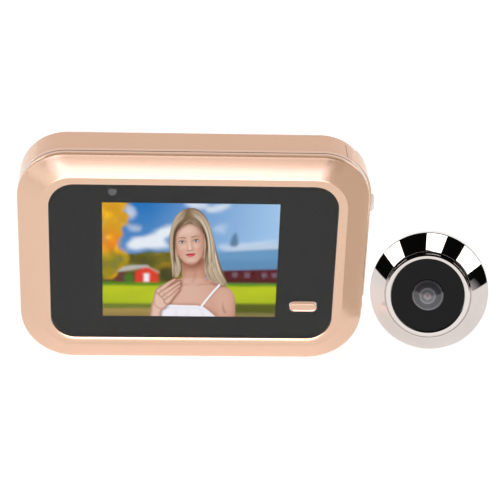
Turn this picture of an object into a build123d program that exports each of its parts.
from build123d import *
import os
from math import atan2, cos, degrees, radians, sin, sqrt

# Peephole door camera: an indoor monitor that stands on its lower edge, and the
# outdoor camera head, which lies beside it on its rim and on the tail of its barrel.
# All sizes are in millimetres. +Z is up, the screen looks along -Y, and the origin is
# the middle of the monitor's resting face.

# Monitor case
case_width = 96.0
case_height = 65.0
case_depth = 16.4
top_corner_radius = 13.5
bottom_corner_radius = 15.0
wall = 1.8
rear_wall = 1.6
rear_edge_radius = 1.0
parting_width = 0.25
parting_depth = 0.35

# Front frame: a sloping band, a pinkish lip inside it and a short wrap round the sides
frame_depth = 6.0
frame_plate_back = 4.0
bevel_depth = 2.8
side_band = 6.05
top_band = 5.9
lip_corner_radius = 9.0
lip_side_band = 2.5
lip_top_band = 2.2
lip_slope = 0.35
bead_depth = 0.15
bead_width = 0.35
bead_place = 4.5

# Front window and the black print behind it
window_corner_radius = 7.0
window_drop = 0.65
window_thickness = 1.0
window_gap = 0.1
window_ledge = 1.2
print_thickness = 0.1

# Display, a 2.4 inch panel of 4 to 3, set in the window by the margins round its picture
picture_left_margin = 14.5
picture_right_margin = 16.0
picture_top_margin = 6.1
picture_bottom_margin = 6.4
picture_cut_gap = 0.15
glass_border = 1.9
glass_driver_border = 5.0
glass_thickness = 1.0
backlight_thickness = 0.7
tray_wall = 0.6
tray_floor = 0.3
display_gap = 0.1
stack_gap = 0.02
ribbon_width = 12.0
ribbon_thickness = 0.2
ribbon_reach = 1.6
ribbon_socket_width = 3.0
ribbon_socket_margin = 1.0

# Front button
button_width = 8.1
button_height = 3.2
button_side_margin = 8.25
button_bottom_margin = 10.4
button_proud = 0.4
button_chamfer = 0.3
button_slot_gap = 0.22
button_flange = 0.8
button_flange_thickness = 0.6
button_travel = 0.4
button_stem_radius = 1.2
button_stem_length = 0.7
button_rest_gap = 0.05
button_switch_size = 4.5
button_switch_height = 1.0
switch_dome_radius = 1.0

# Indicator light pipe in the window
indicator_radius = 1.05
indicator_inset = 2.85
indicator_top_margin = 2.4
indicator_gap = 0.05
indicator_led_size = 2.0
indicator_led_height = 1.0

# Main board
board_side_gap = 1.9
board_end_gap = 6.2
board_thickness = 1.0
board_front = 5.0
board_corner_radius = 3.0
board_screw_side_inset = 3.45
board_screw_end_inset = 3.2
board_boss_radius = 1.9
board_screw_radius = 0.8
board_screw_length = 2.6
board_screw_head_radius = 1.5
board_screw_head_height = 0.8
screw_gap = 0.02
board_screw_gap = 0.1
chip_height = 1.2
chip_sizes = ((12.0, 12.0), (8.0, 6.0), (5.0, 5.0))
chip_place_shares = ((-0.30, -0.22), (-0.28, 0.25), (0.16, 0.30))
shield_width = 20.0
shield_height = 14.0
shield_depth = 1.5
shield_wall = 0.3
shield_place_shares = (0.10, -0.25)

# Case screws
case_screw_side_inset = 14.0
case_screw_end_inset = 4.9
case_post_radius = 2.0
case_post_back = 8.0
case_screw_radius = 1.0
case_screw_hole_radius = 1.15
case_screw_head_radius = 1.9
case_screw_head_height = 1.2
case_screw_sink = 1.5
case_screw_head_gap = 0.2
case_screw_tip_gap = 0.2
case_screw_slot_width = 0.5
case_screw_slot_depth = 0.5
screw_boss_margin = 0.7

# Battery pack
battery_side_gap = 16.75
battery_end_gap = 13.7
battery_gap = 1.8
battery_x = -2.0
battery_corner_radius = 1.5
battery_pad_thickness = 0.5
battery_pad_share = 0.7

# Camera cable socket in the back
socket_side_inset = 12.0
socket_width = 5.6
socket_height = 12.0
socket_mouth_width = 3.2
socket_mouth_height = 9.0
socket_mouth_depth = 5.0
socket_opening_gap = 0.2
socket_wall_gap = 0.1

# Bracket slots in the back
hook_side_inset = 15.0
hook_end_inset = 15.5
hook_slot_width = 3.4
hook_slot_height = 9.0

# Side cover with the power key in it
cover_proud = 0.7
cover_thickness = 1.5
cover_gap = 0.15
cover_seam = 0.2
cover_slider_gap = 4.7
cover_slit_angle = 32.0
cover_slit_gap = 0.3
cover_notch_depth = 2.7
cover_notch_angle = 45.0
cover_notch_drop = 1.3
port_wall = 1.4

# Power key
key_radius = 2.4
key_dome = 0.7
key_side = 0.6
key_hole_gap = 0.1
key_flange_radius = 3.0
key_flange_thickness = 0.45
key_flange_gap = 0.2
key_stem_radius = 1.5
key_travel = 0.35
key_drop = 17.5
key_depth = 9.5
key_skin = 0.6
key_switch_width = 6.0
key_switch_height = 5.0
key_switch_length = 4.0
key_switch_hole_radius = 2.0
plunger_radius = 1.0
contact_gap = 0.02

# Ports behind the side cover
usb_width = 7.5
usb_thickness = 2.6
usb_length = 5.6
usb_wall = 0.3
usb_card_gap = 1.35
usb_opening_gap = 0.25
card_width = 11.2
card_thickness = 1.6
card_length = 14.0
card_slot_thickness = 0.9
card_cover_gap = 0.2
card_slot_depth = 11.0
card_slot_margin = 0.5

# Slide switch below the cover
slider_height = 14.3
slider_depth = 9.0
slider_size = 1.3
slider_width = 1.5
slider_proud = 0.9
slider_travel = 1.8
slider_gap = 0.15
slider_foot = 0.6
slider_foot_thickness = 0.3
slider_play = 0.25
slider_body_length = 4.0
slider_body_height = 6.0
slider_body_width = 3.6

# Camera head
flange_radius = 17.0
flange_side = 4.7
flange_edge = 0.3
bevel_top_radius = 12.4
bevel_top = 10.5
ring_groove = 0.3
ring_radius = 11.95
ring_top = 11.7
ring_edge = 0.3
ring_inner_radius = 10.45
flange_web = 1.3
flange_cavity_radius = 9.4
gasket_thickness = 1.2
gasket_radius = 16.0
gasket_gap = 0.1
lens_window_thickness = 0.8
lens_window_drop = 0.3
lens_window_gap = 0.05
lens_radius = 4.5
lens_rise = 1.7
lens_edge = 0.6
lens_hole_gap = 0.08
lens_tube_length = 5.0
lens_tube_bore = 3.4
lens_tube_wall = 0.9
inner_lens_radius = 1.95
inner_lens_rise = 0.9
inner_lens_edge = 0.5
inner_lens_drop = 1.4
lens_holder_radius = 6.2
lens_holder_height = 3.0
sensor_size = 6.0
sensor_thickness = 0.9
sensor_gap = 0.2
camera_board_radius = 8.8
camera_board_thickness = 1.0
camera_screw_circle = 7.4
camera_screw_radius = 0.6
camera_screw_head_radius = 1.05
camera_screw_head_height = 0.6
camera_screw_length = 1.9

# Barrel that passes through the door
barrel_radius = 6.5
barrel_length = 27.4
barrel_bore = 4.9
barrel_neck = 3.0
spigot_radius = 6.0
spigot_relief = 0.5
barrel_edge = 0.3
thread_pitch = 1.25
thread_depth = 0.5
thread_crest = 0.35
grommet_length = 5.0
grommet_slot_width = 6.4
grommet_slot_thickness = 1.0

# Place of the camera head beside the monitor
head_gap = 4.06
head_setback = 15.6
head_turn = -11.7

# Overrun of a cut past the faces it opens
overrun = 1.0

os.makedirs("parts", exist_ok=True)


def facing(depth):
    """Plane that looks out to the front, a depth behind the lip, centred on the case."""
    return Plane(
        origin=(0, depth - case_depth / 2, case_height / 2), x_dir=(1, 0, 0), z_dir=(0, -1, 0)
    )


def from_side(distance):
    """Plane that looks out to the right, a distance from the middle of the case."""
    return Plane(
        origin=(distance, -case_depth / 2, 0), x_dir=(0, 1, 0), z_dir=(1, 0, 0)
    )


def rounded(depth, width, height, top_radius, bottom_radius, center=(0, 0)):
    """Rectangle with rounded corners on a plane that faces the front."""
    with BuildSketch(facing(depth)) as outline:
        with Locations(center):
            Rectangle(width, height)
        fillet(outline.vertices().group_by(Axis.Y)[-1], top_radius)
        fillet(outline.vertices().group_by(Axis.Y)[0], bottom_radius)
    return outline.sketch


def rectangles(depth, width, height, *centers):
    """Plain rectangles on a plane that faces the front."""
    with BuildSketch(facing(depth)) as outline:
        with Locations(*centers):
            Rectangle(width, height)
    return outline.sketch


def circles(depth, radius, *centers):
    """Circles on a plane that faces the front."""
    with BuildSketch(facing(depth)) as outline:
        with Locations(*centers):
            Circle(radius)
    return outline.sketch


def case_outline(depth, inset=0):
    """Outline of the case, drawn in by an inset."""
    return rounded(
        depth,
        case_width - 2 * inset,
        case_height - 2 * inset,
        top_corner_radius - inset,
        bottom_corner_radius - inset,
    )


lip_width = case_width - 2 * side_band
lip_height = case_height - 2 * top_band
window_width = lip_width - 2 * lip_side_band
window_height = lip_height - 2 * lip_top_band
window_back = window_drop + window_thickness
print_back = window_back + print_thickness
picture_width = window_width - picture_left_margin - picture_right_margin
picture_height = window_height - picture_top_margin - picture_bottom_margin
picture_x = (picture_left_margin - picture_right_margin) / 2
picture_z = (picture_bottom_margin - picture_top_margin) / 2
button_x = window_width / 2 - button_side_margin
button_z = button_bottom_margin - window_height / 2
indicator_x = picture_x - picture_width / 2 + indicator_inset
indicator_z = window_height / 2 - indicator_top_margin
cover_end_height = slider_height + cover_slider_gap
card_height = cover_end_height + card_cover_gap + card_width / 2
usb_height = card_height + card_width / 2 + card_slot_margin + usb_card_gap + usb_width / 2
key_height = case_height - key_drop
cover_tongue_back = case_depth - cover_notch_depth
recess_inset = cover_thickness + cover_gap
recess_floor = case_width / 2 + cover_proud - recess_inset
port_wall_inner = recess_floor - port_wall
board_width = 2 * (port_wall_inner - board_side_gap)
board_height = case_height - 2 * (wall + board_end_gap)
case_screw_x = case_width / 2 - case_screw_side_inset
case_screw_z = case_height / 2 - case_screw_end_inset
board_screw_x = board_width / 2 - board_screw_side_inset
board_screw_z = board_height / 2 - board_screw_end_inset
hook_x = case_width / 2 - hook_side_inset
hook_z = case_height / 2 - hook_end_inset
socket_place = (socket_side_inset - case_width / 2, 0)


def lip_outline(depth):
    """Outer line of the lip."""
    return rounded(depth, lip_width, lip_height, lip_corner_radius, lip_corner_radius)


def window_outline(depth, inset=0):
    """Outline of the window opening, drawn in by an inset."""
    radius = window_corner_radius - inset
    return rounded(depth, window_width - 2 * inset, window_height - 2 * inset, radius, radius)


def button_outline(depth, grow=0):
    """Outline of the oval front button, grown by a margin."""
    with BuildSketch(facing(depth)) as oval:
        with Locations((button_x, button_z)):
            SlotOverall(button_width + 2 * grow, button_height + 2 * grow)
    return oval.sketch


def mirrored(x, z):
    """The four places at plus and minus x and z from the middle of the case."""
    return [(sx * x, sz * z) for sx in (-1, 1) for sz in (-1, 1)]


case_screw_places = mirrored(case_screw_x, case_screw_z)
board_screw_places = mirrored(board_screw_x, board_screw_z)

# Front frame
with BuildPart() as front_frame:
    loft([case_outline(bevel_depth), lip_outline(0)], ruled=True)
    extrude(case_outline(bevel_depth), amount=bevel_depth - frame_depth)
    loft([lip_outline(0), window_outline(lip_slope)], ruled=True, mode=Mode.SUBTRACT)
    extrude(window_outline(0), amount=-print_back, mode=Mode.SUBTRACT)
    extrude(window_outline(0, window_ledge), amount=-frame_depth, mode=Mode.SUBTRACT)
    extrude(
        case_outline(frame_plate_back, wall),
        amount=frame_plate_back - frame_depth,
        mode=Mode.SUBTRACT,
    )
    with BuildSketch(facing(bead_place)) as bead:
        add(case_outline(bead_place, -overrun))
        add(case_outline(bead_place, bead_depth), mode=Mode.SUBTRACT)
    extrude(bead.sketch, amount=-bead_width, mode=Mode.SUBTRACT)
    extrude(
        circles(frame_plate_back, case_post_radius, *case_screw_places),
        amount=frame_plate_back - case_post_back,
    )
    extrude(
        circles(frame_plate_back, board_boss_radius, *board_screw_places),
        amount=frame_plate_back - board_front,
    )
    extrude(
        circles(case_post_back, case_screw_radius + screw_gap, *case_screw_places),
        amount=case_post_back - frame_plate_back,
        mode=Mode.SUBTRACT,
    )
    extrude(
        circles(board_front, board_screw_radius + screw_gap, *board_screw_places),
        amount=board_screw_length,
        mode=Mode.SUBTRACT,
    )
front_frame.part.label = "front_frame"

# Front window and its black print, with the picture left clear
with BuildPart() as front_window:
    extrude(window_outline(window_drop, window_gap), amount=-window_thickness)
    extrude(button_outline(0, button_slot_gap), amount=-frame_depth, mode=Mode.SUBTRACT)
    extrude(
        circles(0, indicator_radius + indicator_gap, (indicator_x, indicator_z)),
        amount=-frame_depth,
        mode=Mode.SUBTRACT,
    )
front_window.part.label = "front_window"

with BuildPart() as window_print:
    extrude(window_outline(window_back, window_gap), amount=-print_thickness)
    extrude(
        rectangles(
            0,
            picture_width + 2 * picture_cut_gap,
            picture_height + 2 * picture_cut_gap,
            (picture_x, picture_z),
        ),
        amount=-frame_depth,
        mode=Mode.SUBTRACT,
    )
    extrude(button_outline(0, button_slot_gap), amount=-frame_depth, mode=Mode.SUBTRACT)
    extrude(
        circles(0, indicator_radius + indicator_gap, (indicator_x, indicator_z)),
        amount=-frame_depth,
        mode=Mode.SUBTRACT,
    )
window_print.part.label = "window_print"

# Display: glass, backlight and the steel tray that holds them
glass_width = picture_width + glass_border + glass_driver_border
glass_height = picture_height + 2 * glass_border
glass_x = picture_x - (glass_driver_border - glass_border) / 2
glass_place = (glass_x, picture_z)
glass_front = print_back + display_gap
glass_back = glass_front + glass_thickness
backlight_back = glass_back + stack_gap + backlight_thickness
tray_back = backlight_back + stack_gap + tray_floor
tray_width = glass_width + 2 * (tray_wall + stack_gap)
tray_height = glass_height + 2 * (tray_wall + stack_gap)

with BuildPart() as lcd_glass:
    extrude(
        rectangles(glass_front, glass_width, glass_height, glass_place), amount=-glass_thickness
    )
lcd_glass.part.label = "lcd_glass"

with BuildPart() as lcd_backlight:
    extrude(
        rectangles(glass_back + stack_gap, glass_width, glass_height, glass_place),
        amount=-backlight_thickness,
    )
lcd_backlight.part.label = "lcd_backlight"

with BuildPart() as lcd_tray:
    extrude(
        rectangles(glass_front, tray_width, tray_height, glass_place),
        amount=glass_front - tray_back,
    )
    extrude(
        rectangles(
            glass_front, glass_width + 2 * stack_gap, glass_height + 2 * stack_gap, glass_place
        ),
        amount=glass_front + tray_floor - tray_back,
        mode=Mode.SUBTRACT,
    )
    extrude(
        rectangles(
            glass_front,
            2 * tray_wall,
            ribbon_width + 2 * display_gap,
            (glass_x - tray_width / 2, picture_z),
        ),
        amount=glass_front - backlight_back,
        mode=Mode.SUBTRACT,
    )
lcd_tray.part.label = "lcd_tray"

# Two strips of foam tape between the tray and the main board
with BuildPart() as lcd_foam:
    extrude(
        rectangles(
            tray_back,
            tray_width * battery_pad_share,
            glass_border,
            (glass_x, picture_z + picture_height / 2 - glass_border),
            (glass_x, picture_z - picture_height / 2 + glass_border),
        ),
        amount=tray_back - board_front,
    )
lcd_foam.part.label = "lcd_foam"

# Ribbon from the glass round the tray's edge to its socket on the board
ribbon_front = glass_back - ribbon_thickness
ribbon_start = glass_x - glass_width / 2 - stack_gap
ribbon_end = ribbon_start - tray_wall - ribbon_reach
ribbon_socket_front = board_front - indicator_led_height
with BuildPart() as lcd_ribbon:
    extrude(
        rectangles(
            ribbon_front,
            ribbon_start - ribbon_end,
            ribbon_width,
            ((ribbon_start + ribbon_end) / 2, picture_z),
        ),
        amount=-ribbon_thickness,
    )
    extrude(
        rectangles(
            ribbon_front,
            ribbon_thickness,
            ribbon_width,
            (ribbon_end + ribbon_thickness / 2, picture_z),
        ),
        amount=ribbon_front - ribbon_socket_front,
    )
lcd_ribbon.part.label = "lcd_ribbon"

with BuildPart() as ribbon_socket:
    extrude(
        rectangles(
            ribbon_socket_front,
            ribbon_socket_width,
            ribbon_width + 2 * ribbon_socket_margin,
            (ribbon_end, picture_z),
        ),
        amount=ribbon_socket_front - board_front,
    )
ribbon_socket.part.label = "ribbon_socket"

# Indicator light pipe and the light behind it
with BuildPart() as indicator_lens:
    extrude(
        circles(window_drop, indicator_radius, (indicator_x, indicator_z)),
        amount=window_drop - ribbon_socket_front + stack_gap,
    )
indicator_lens.part.label = "indicator_lens"

with BuildPart() as indicator_led:
    extrude(
        rectangles(
            ribbon_socket_front,
            indicator_led_size,
            indicator_led_size,
            (indicator_x, indicator_z),
        ),
        amount=-indicator_led_height,
    )
indicator_led.part.label = "indicator_led"

# Front button: an oval cap whose flange is held behind the window
button_front = window_drop - button_proud
button_flange_front = print_back + button_rest_gap
button_flange_back = button_flange_front + button_flange_thickness
button_stem_back = button_flange_back + button_stem_length
with BuildPart() as button_cap:
    extrude(button_outline(button_front), amount=button_front - button_flange_front)
    chamfer(button_cap.faces().sort_by(Axis.Y)[0].edges(), button_chamfer)
    extrude(
        button_outline(button_flange_front, button_flange), amount=-button_flange_thickness
    )
    extrude(
        circles(button_flange_back, button_stem_radius, (button_x, button_z)),
        amount=-button_stem_length,
    )
button_cap.part.label = "button_cap"

button_switch_front = board_front - button_switch_height
with BuildPart() as button_switch:
    extrude(
        rectangles(
            button_switch_front, button_switch_size, button_switch_size, (button_x, button_z)
        ),
        amount=-button_switch_height,
    )
    extrude(
        circles(
            button_stem_back + button_travel + contact_gap,
            switch_dome_radius,
            (button_x, button_z),
        ),
        amount=button_stem_back + button_travel + contact_gap - button_switch_front,
    )
button_switch.part.label = "button_switch"

# Main board and what is soldered to it
board_back = board_front + board_thickness
with BuildPart() as main_board:
    extrude(
        rounded(
            board_front, board_width, board_height, board_corner_radius, board_corner_radius
        ),
        amount=-board_thickness,
    )
    extrude(
        circles(board_front, board_screw_radius + board_screw_gap, *board_screw_places),
        amount=-board_thickness,
        mode=Mode.SUBTRACT,
    )
main_board.part.label = "main_board"

with BuildPart() as board_chips:
    for (chip_width, chip_depth), (x_share, z_share) in zip(chip_sizes, chip_place_shares):
        place = (x_share * board_width, z_share * board_height)
        extrude(rectangles(board_back, chip_width, chip_depth, place), amount=-chip_height)
board_chips.part.label = "board_chips"

shield_place = (shield_place_shares[0] * board_width, shield_place_shares[1] * board_height)
with BuildPart() as shield_can:
    extrude(
        rectangles(board_back, shield_width, shield_height, shield_place), amount=-shield_depth
    )
    extrude(
        rectangles(
            board_back,
            shield_width - 2 * shield_wall,
            shield_height - 2 * shield_wall,
            shield_place,
        ),
        amount=shield_wall - shield_depth,
        mode=Mode.SUBTRACT,
    )
shield_can.part.label = "shield_can"

with BuildPart() as board_screws:
    extrude(
        circles(board_back, board_screw_radius, *board_screw_places),
        amount=board_screw_length,
    )
    extrude(
        circles(board_back, board_screw_head_radius, *board_screw_places),
        amount=-board_screw_head_height,
    )
board_screws.part.label = "board_screws"

# Battery pack, on a foam pad against the rear wall
cavity_back = case_depth - rear_wall
battery_back = cavity_back - battery_pad_thickness
battery_front = board_back + shield_depth + battery_gap
battery_width = board_width - 2 * battery_side_gap + 2 * battery_x
battery_height = case_height - 2 * (wall + battery_end_gap)
with BuildPart() as battery_pack:
    extrude(
        rounded(
            battery_front,
            battery_width,
            battery_height,
            battery_corner_radius,
            battery_corner_radius,
            (battery_x, 0),
        ),
        amount=battery_front - battery_back,
    )
battery_pack.part.label = "battery_pack"

with BuildPart() as battery_pad:
    extrude(
        rectangles(
            battery_back,
            battery_width * battery_pad_share,
            battery_height * battery_pad_share,
            (battery_x, 0),
        ),
        amount=-battery_pad_thickness,
    )
battery_pad.part.label = "battery_pad"

# Socket for the camera's flat cable, a tall header that opens through the back
socket_back = cavity_back - socket_wall_gap
with BuildPart() as camera_socket:
    extrude(
        rectangles(board_back, socket_width, socket_height, socket_place),
        amount=board_back - socket_back,
    )
    extrude(
        rectangles(socket_back, socket_mouth_width, socket_mouth_height, socket_place),
        amount=socket_mouth_depth,
        mode=Mode.SUBTRACT,
    )
camera_socket.part.label = "camera_socket"

# Side cover section: an arc over the upper corner and a straight flank below it
corner_x = case_width / 2 - top_corner_radius
corner_z = case_height / 2 - top_corner_radius
slit_x = corner_x + top_corner_radius * sin(radians(cover_slit_angle))
slit_z = corner_z + top_corner_radius * cos(radians(cover_slit_angle))
cover_x = corner_x + cover_proud
cover_z = slit_z - sqrt(top_corner_radius**2 - (slit_x - cover_x) ** 2)
cover_angle = degrees(atan2(slit_z - cover_z, slit_x - cover_x))
cover_end = cover_end_height - case_height / 2
cover_front = frame_depth + cover_seam
notch_z = corner_z + top_corner_radius * cos(radians(cover_notch_angle))


def cover_section(depth, outer, inner, end, top=case_height):
    """Section of the side cover from an outer skin to an inner one, below a top."""
    sweep = cover_angle + degrees(end / top_corner_radius)
    outer_radius = top_corner_radius + outer
    inner_radius = top_corner_radius - inner
    bottom = cover_end - end
    with BuildSketch(facing(depth)) as section:
        with BuildLine():
            skin = CenterArc((cover_x, cover_z), outer_radius, 0, sweep)
            lining = CenterArc((cover_x, cover_z), inner_radius, 0, sweep)
            Line(skin @ 1, lining @ 1)
            Polyline(
                skin @ 0,
                (cover_x + outer_radius, bottom),
                (cover_x + inner_radius, bottom),
                lining @ 0,
            )
        make_face()
        with Locations((case_width / 2, top)):
            Rectangle(case_width, 2 * case_height, align=(Align.CENTER, Align.MAX), mode=Mode.INTERSECT)
    return section.sketch


def on_cover_skin(edge):
    """True for an edge of the cover's rear face that lies on its outer skin."""
    middle = edge @ 0.5
    rise = middle.Z - case_height / 2 - cover_z
    reach = middle.X - cover_x
    radius = sqrt(reach**2 + max(rise, 0) ** 2)
    return abs(radius - top_corner_radius) < parting_depth


with BuildPart() as side_cover:
    extrude(
        cover_section(cover_front, 0, cover_thickness, 0),
        amount=cover_front - cover_tongue_back,
    )
    extrude(
        cover_section(cover_tongue_back, 0, cover_thickness, 0, notch_z - cover_gap),
        amount=cover_tongue_back - case_depth,
    )
    rear_edges = side_cover.edges().group_by(Axis.Y)[-1]
    fillet(rear_edges.filter_by(on_cover_skin), rear_edge_radius)
    with BuildSketch(from_side(corner_x)) as notch:
        with BuildLine():
            Polyline(
                (cover_tongue_back, case_height / 2 + notch_z - cover_gap),
                (case_depth + overrun, case_height / 2 + notch_z - cover_gap),
                (case_depth + overrun, case_height / 2 + notch_z - cover_notch_drop),
                close=True,
            )
        make_face()
    extrude(notch.sketch, amount=top_corner_radius + overrun, mode=Mode.SUBTRACT)
    with BuildSketch(from_side(recess_floor)) as key_bore:
        with Locations((key_depth, key_height)):
            Circle(key_radius + key_hole_gap)
    extrude(key_bore.sketch, amount=cover_thickness + 2 * overrun, mode=Mode.SUBTRACT)
    with BuildSketch(from_side(recess_floor)) as key_seat:
        with Locations((key_depth, key_height)):
            Circle(key_flange_radius + key_flange_gap)
    extrude(key_seat.sketch, amount=recess_inset - key_skin, mode=Mode.SUBTRACT)
side_cover.part.label = "side_cover"

# Power key: a low dome that slides in the side cover
cover_face = case_width / 2 + cover_proud
key_seat_face = cover_face - key_skin
key_shoulder = key_seat_face - contact_gap
key_back = recess_floor + cover_gap
with BuildPart() as power_key:
    with BuildSketch(from_side(key_back)) as key_stem:
        with Locations((key_depth, key_height)):
            Circle(key_stem_radius)
    extrude(key_stem.sketch, amount=key_shoulder - key_back)
    with BuildSketch(from_side(key_shoulder - key_flange_thickness)) as key_flange:
        with Locations((key_depth, key_height)):
            Circle(key_flange_radius)
    extrude(key_flange.sketch, amount=key_flange_thickness)
    with BuildSketch(from_side(key_shoulder)) as key_body:
        with Locations((key_depth, key_height)):
            Circle(key_radius)
    extrude(key_body.sketch, amount=key_skin + key_side + key_dome)
    fillet(power_key.faces().sort_by(Axis.X)[-1].edges(), key_dome)
power_key.part.label = "power_key"

# Rear case
screw_head_front = case_depth - case_screw_sink - case_screw_head_height
with BuildPart() as rear_case:
    extrude(case_outline(frame_depth), amount=frame_depth - case_depth)
    fillet(rear_case.edges().group_by(Axis.Y)[-1], rear_edge_radius)
    extrude(case_outline(frame_depth, wall), amount=frame_depth - cavity_back, mode=Mode.SUBTRACT)
    extrude(
        cover_section(frame_depth, -recess_inset, recess_inset + port_wall, port_wall),
        amount=frame_depth - cavity_back,
    )
    extrude(
        cover_section(frame_depth, overrun, recess_inset, cover_slit_gap),
        amount=frame_depth - cover_tongue_back - cover_gap,
        mode=Mode.SUBTRACT,
    )
    extrude(
        cover_section(cover_tongue_back, overrun, recess_inset, cover_slit_gap, notch_z),
        amount=cover_tongue_back - case_depth - overrun,
        mode=Mode.SUBTRACT,
    )
    with BuildSketch(facing(frame_depth)) as parting:
        add(case_outline(frame_depth, -overrun))
        add(case_outline(frame_depth, parting_depth), mode=Mode.SUBTRACT)
    extrude(parting.sketch, amount=-parting_width, mode=Mode.SUBTRACT)
    extrude(
        circles(
            case_post_back,
            case_screw_head_radius + case_screw_head_gap + screw_boss_margin,
            *case_screw_places,
        ),
        amount=case_post_back - cavity_back,
    )
    extrude(
        circles(0, case_screw_hole_radius, *case_screw_places),
        amount=-case_depth - overrun,
        mode=Mode.SUBTRACT,
    )
    extrude(
        circles(
            screw_head_front,
            case_screw_head_radius + case_screw_head_gap,
            *case_screw_places,
        ),
        amount=-case_depth,
        mode=Mode.SUBTRACT,
    )
    extrude(
        rectangles(
            0,
            socket_mouth_width + 2 * socket_opening_gap,
            socket_mouth_height + 2 * socket_opening_gap,
            socket_place,
        ),
        amount=-case_depth - overrun,
        mode=Mode.SUBTRACT,
    )
    with BuildSketch(facing(cavity_back)) as hooks:
        with Locations((-hook_x, hook_z), (hook_x, hook_z)):
            SlotOverall(hook_slot_height, hook_slot_width, rotation=90)
    extrude(hooks.sketch, amount=-rear_wall - overrun, mode=Mode.SUBTRACT)
    with BuildSketch(from_side(port_wall_inner - overrun)) as ports:
        with Locations((key_depth, key_height)):
            Circle(key_switch_hole_radius)
        with Locations((board_back + usb_thickness / 2, usb_height)):
            Rectangle(usb_thickness + 2 * usb_opening_gap, usb_width + 2 * usb_opening_gap)
        with Locations((board_back + card_thickness / 2, card_height)):
            Rectangle(card_thickness, card_width)
    extrude(ports.sketch, amount=port_wall + 2 * overrun, mode=Mode.SUBTRACT)
    with BuildSketch(from_side(case_width / 2 - wall - overrun)) as slider_slot:
        with Locations((slider_depth, slider_height + slider_travel / 2)):
            Rectangle(
                slider_width + 2 * slider_gap, slider_size + slider_travel + 2 * slider_gap
            )
    extrude(slider_slot.sketch, amount=wall + 2 * overrun, mode=Mode.SUBTRACT)
rear_case.part.label = "rear_case"

# Case screws, with a slot in each head
case_screw_length = screw_head_front - frame_plate_back - case_screw_tip_gap
with BuildPart() as case_screws:
    extrude(
        circles(screw_head_front, case_screw_radius, *case_screw_places),
        amount=case_screw_length,
    )
    extrude(
        circles(screw_head_front, case_screw_head_radius, *case_screw_places),
        amount=-case_screw_head_height,
    )
    extrude(
        rectangles(
            screw_head_front + case_screw_head_height - case_screw_slot_depth,
            2 * case_screw_head_radius,
            case_screw_slot_width,
            *case_screw_places,
        ),
        amount=-case_screw_slot_depth,
        mode=Mode.SUBTRACT,
    )
case_screws.part.label = "case_screws"


def side_block(start, end, depth_size, height_size, depth_center, height_center):
    """Block along X, from one distance to another, for what sits at the board's edge."""
    with BuildSketch(from_side(start)) as outline:
        with Locations((depth_center, height_center)):
            Rectangle(depth_size, height_size)
    return extrude(outline.sketch, amount=end - start)


# Switch behind the power key, on the rear face of the board
key_switch_end = port_wall_inner - contact_gap
plunger_end = key_back - key_travel - contact_gap
with BuildPart() as key_switch:
    side_block(
        key_switch_end - key_switch_length,
        key_switch_end,
        key_depth + key_switch_height / 2 - board_back,
        key_switch_width,
        (key_depth + key_switch_height / 2 + board_back) / 2,
        key_height,
    )
    with BuildSketch(from_side(key_switch_end)) as plunger:
        with Locations((key_depth, key_height)):
            Circle(plunger_radius)
    extrude(plunger.sketch, amount=plunger_end - key_switch_end)
key_switch.part.label = "key_switch"

# Charging socket and card slot, open towards the side
with BuildPart() as usb_socket:
    usb_middle = board_back + usb_thickness / 2
    side_block(
        port_wall_inner - usb_length,
        recess_floor - port_wall / 2,
        usb_thickness,
        usb_width,
        usb_middle,
        usb_height,
    )
    with BuildSketch(from_side(port_wall_inner - usb_length + usb_wall)) as usb_mouth:
        with Locations((usb_middle, usb_height)):
            Rectangle(usb_thickness - 2 * usb_wall, usb_width - 2 * usb_wall)
    extrude(usb_mouth.sketch, amount=usb_length + port_wall, mode=Mode.SUBTRACT)
usb_socket.part.label = "usb_socket"

with BuildPart() as card_slot:
    card_middle = board_back + card_thickness / 2
    side_block(
        port_wall_inner - contact_gap - card_length,
        port_wall_inner - contact_gap,
        card_thickness,
        card_width + 2 * card_slot_margin,
        card_middle,
        card_height,
    )
    with BuildSketch(from_side(port_wall_inner - contact_gap - card_slot_depth)) as card_mouth:
        with Locations((card_middle, card_height)):
            Rectangle(card_slot_thickness, card_width - 2 * card_slot_margin)
    extrude(card_mouth.sketch, amount=card_length, mode=Mode.SUBTRACT)
card_slot.part.label = "card_slot"

# Slide switch: its body on the board and its knob through the side wall
side_wall_inner = case_width / 2 - wall
slider_foot_end = side_wall_inner - slider_play
slider_body_end = slider_foot_end - slider_foot_thickness - slider_play
with BuildPart() as slide_switch:
    side_block(
        slider_body_end - slider_body_length,
        slider_body_end,
        slider_depth + slider_body_width / 2 - board_back,
        slider_body_height,
        (slider_depth + slider_body_width / 2 + board_back) / 2,
        slider_height + slider_travel / 2,
    )
slide_switch.part.label = "slide_switch"

with BuildPart() as slide_knob:
    side_block(
        slider_foot_end - slider_foot_thickness,
        case_width / 2 + slider_proud,
        slider_width,
        slider_size,
        slider_depth,
        slider_height,
    )
    side_block(
        slider_foot_end - slider_foot_thickness,
        slider_foot_end,
        slider_width + 2 * slider_foot,
        slider_size + 2 * slider_foot,
        slider_depth,
        slider_height,
    )
slide_knob.part.label = "slide_knob"

# The head rests on its rim and on the tail of its barrel, which sets its tilt
head_tilt = degrees(atan2(flange_radius - barrel_radius, barrel_length - barrel_edge))
head_axis = Vector(
    sin(radians(head_turn)) * cos(radians(head_tilt)),
    -cos(radians(head_turn)) * cos(radians(head_tilt)),
    sin(radians(head_tilt)),
)
head_side = Vector(cos(radians(head_turn)), sin(radians(head_turn)), 0)
head_origin = Vector(
    case_width / 2 + head_gap + flange_radius,
    head_setback - case_depth / 2,
    flange_radius * cos(radians(head_tilt)),
)
head_line = Axis(head_origin, head_axis)
head_section = Plane(origin=head_origin, x_dir=head_side, z_dir=head_side.cross(head_axis))


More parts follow.
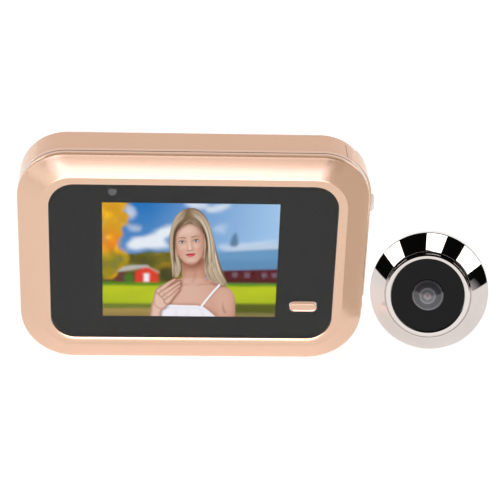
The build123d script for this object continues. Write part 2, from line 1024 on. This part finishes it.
def along(height):
    """Plane square to the head's axis, a height in front of the flange's rear edge."""
    return Plane(origin=head_origin + head_axis * height, x_dir=head_side, z_dir=head_axis)


def turned(*points):
    """Solid of revolution about the head's axis, from points of radius and height."""
    with BuildSketch(head_section) as profile:
        with BuildLine():
            Polyline(*points, close=True)
        make_face()
    return revolve(profile.sketch, axis=head_line)


def disc(height, radius, *centers):
    """Circles on a plane square to the head's axis."""
    with BuildSketch(along(height)) as outline:
        with Locations(*(centers or [(0, 0)])):
            Circle(radius)
    return outline.sketch


web_front = gasket_thickness + flange_web
window_seat = ring_top - lens_window_drop - lens_window_thickness

with BuildPart() as camera_flange:
    turned(
        (spigot_radius + screw_gap, gasket_thickness),
        (gasket_radius + gasket_gap, gasket_thickness),
        (gasket_radius + gasket_gap, 0),
        (flange_radius - flange_edge, 0),
        (flange_radius, flange_edge),
        (flange_radius, flange_side),
        (bevel_top_radius, bevel_top),
        (ring_radius, bevel_top - ring_groove),
        (ring_radius, ring_top - ring_edge),
        (ring_radius - ring_edge, ring_top),
        (ring_inner_radius, ring_top),
        (ring_inner_radius, window_seat),
        (flange_cavity_radius, window_seat),
        (flange_cavity_radius, web_front),
        (spigot_radius + screw_gap, web_front),
    )
    camera_screw_places = [(-camera_screw_circle, 0), (camera_screw_circle, 0)]
    extrude(
        disc(gasket_thickness, camera_screw_radius + screw_gap, *camera_screw_places),
        amount=flange_web,
        mode=Mode.SUBTRACT,
    )
camera_flange.part.label = "camera_flange"

with BuildPart() as flange_gasket:
    extrude(disc(0, gasket_radius), amount=gasket_thickness)
    extrude(disc(0, barrel_radius + gasket_gap), amount=gasket_thickness, mode=Mode.SUBTRACT)
flange_gasket.part.label = "flange_gasket"

# Black window round the lens
with BuildPart() as lens_window:
    extrude(disc(window_seat, ring_inner_radius - lens_window_gap), amount=lens_window_thickness)
    extrude(
        disc(window_seat, lens_radius + lens_hole_gap),
        amount=lens_window_thickness,
        mode=Mode.SUBTRACT,
    )
lens_window.part.label = "lens_window"


def domed(base, radius, edge, rise):
    """Lens with a flat base, a straight edge and a domed front."""
    with BuildSketch(head_section) as profile:
        with BuildLine():
            Line((0, base), (radius, base))
            Line((radius, base), (radius, base + edge))
            sphere_radius = (radius**2 + rise**2) / (2 * rise)
            crown = (0, base + edge + rise)
            RadiusArc((radius, base + edge), crown, -sphere_radius)
            Line(crown, (0, base))
        make_face()
    return revolve(profile.sketch, axis=head_line)


# Lens stack: front lens, tube, small inner lens and the holder over the image sensor
tube_front = window_seat + lens_window_thickness - lens_edge
tube_back = tube_front - lens_tube_length
board_face = web_front + camera_board_thickness
holder_front = board_face + lens_holder_height
inner_lens_base = tube_front - inner_lens_drop - inner_lens_edge
with BuildPart() as front_lens:
    domed(tube_front, lens_radius, lens_edge, lens_rise)
front_lens.part.label = "front_lens"

with BuildPart() as lens_tube:
    turned(
        (inner_lens_radius, tube_back),
        (lens_tube_bore + lens_tube_wall, tube_back),
        (lens_tube_bore + lens_tube_wall, tube_front),
        (lens_tube_bore, tube_front),
        (lens_tube_bore, inner_lens_base),
        (inner_lens_radius, inner_lens_base),
    )
lens_tube.part.label = "lens_tube"

with BuildPart() as inner_lens:
    domed(inner_lens_base + stack_gap, lens_tube_bore - stack_gap, inner_lens_edge, inner_lens_rise)
inner_lens.part.label = "inner_lens"

with BuildPart() as lens_holder:
    extrude(disc(board_face, lens_holder_radius), amount=lens_holder_height)
    extrude(
        disc(tube_back, lens_tube_bore + lens_tube_wall + stack_gap),
        amount=lens_tube_length,
        mode=Mode.SUBTRACT,
    )
    with BuildSketch(along(board_face)) as sensor_pocket:
        Rectangle(sensor_size + 2 * sensor_gap, sensor_size + 2 * sensor_gap)
    extrude(sensor_pocket.sketch, amount=sensor_thickness + sensor_gap, mode=Mode.SUBTRACT)
    extrude(disc(board_face, inner_lens_radius), amount=lens_holder_height, mode=Mode.SUBTRACT)
lens_holder.part.label = "lens_holder"

with BuildPart() as image_sensor:
    with BuildSketch(along(board_face)) as sensor_outline:
        Rectangle(sensor_size, sensor_size)
    extrude(sensor_outline.sketch, amount=sensor_thickness)
image_sensor.part.label = "image_sensor"

with BuildPart() as camera_board:
    extrude(disc(web_front, camera_board_radius), amount=camera_board_thickness)
    extrude(
        disc(web_front, camera_screw_radius + board_screw_gap, *camera_screw_places),
        amount=camera_board_thickness,
        mode=Mode.SUBTRACT,
    )
camera_board.part.label = "camera_board"

with BuildPart() as camera_screws:
    extrude(disc(board_face, camera_screw_radius, *camera_screw_places), amount=-camera_screw_length)
    extrude(
        disc(board_face, camera_screw_head_radius, *camera_screw_places),
        amount=camera_screw_head_height,
    )
camera_screws.part.label = "camera_screws"

# Barrel: a spigot in the flange, a plain neck, then thread ridges down to the tail
thread_run = barrel_length - barrel_neck - 2 * barrel_edge
thread_count = int(thread_run / thread_pitch)
thread_start = -barrel_neck - (thread_run - thread_count * thread_pitch)
thread_points = []
for ridge in range(thread_count):
    crest_start = thread_start - ridge * thread_pitch
    flank = (thread_pitch - 2 * thread_crest) / 2
    thread_points += [
        (barrel_radius, crest_start),
        (barrel_radius - thread_depth, crest_start - flank),
        (barrel_radius - thread_depth, crest_start - flank - thread_crest),
        (barrel_radius, crest_start - 2 * flank - thread_crest),
    ]
with BuildPart() as camera_barrel:
    turned(
        (barrel_bore, web_front),
        (spigot_radius, web_front),
        (spigot_radius, -spigot_relief),
        (barrel_radius, -spigot_relief),
        *thread_points,
        (barrel_radius, barrel_edge - barrel_length),
        (barrel_radius - barrel_edge, -barrel_length),
        (barrel_bore, -barrel_length),
    )
camera_barrel.part.label = "camera_barrel"

# Rubber plug in the tail, with the slot that the flat cable leaves by
with BuildPart() as cable_grommet:
    extrude(disc(-barrel_length, barrel_bore - stack_gap), amount=grommet_length)
    with BuildSketch(along(-barrel_length)) as cable_slot:
        Rectangle(grommet_slot_width, grommet_slot_thickness)
    extrude(cable_slot.sketch, amount=grommet_length, mode=Mode.SUBTRACT)
cable_grommet.part.label = "cable_grommet"

pieces = [
    front_frame,
    front_window,
    window_print,
    lcd_glass,
    lcd_backlight,
    lcd_tray,
    lcd_foam,
    lcd_ribbon,
    ribbon_socket,
    indicator_lens,
    indicator_led,
    button_cap,
    button_switch,
    main_board,
    board_chips,
    shield_can,
    board_screws,
    battery_pack,
    battery_pad,
    camera_socket,
    side_cover,
    power_key,
    rear_case,
    case_screws,
    key_switch,
    usb_socket,
    card_slot,
    slide_switch,
    slide_knob,
    camera_flange,
    flange_gasket,
    lens_window,
    front_lens,
    lens_tube,
    inner_lens,
    lens_holder,
    image_sensor,
    camera_board,
    camera_screws,
    camera_barrel,
    cable_grommet,
]
for piece in pieces:
    export_step(piece.part, f"parts/{piece.part.label}.step")
print("head tilt in degrees:", round(head_tilt, 2))
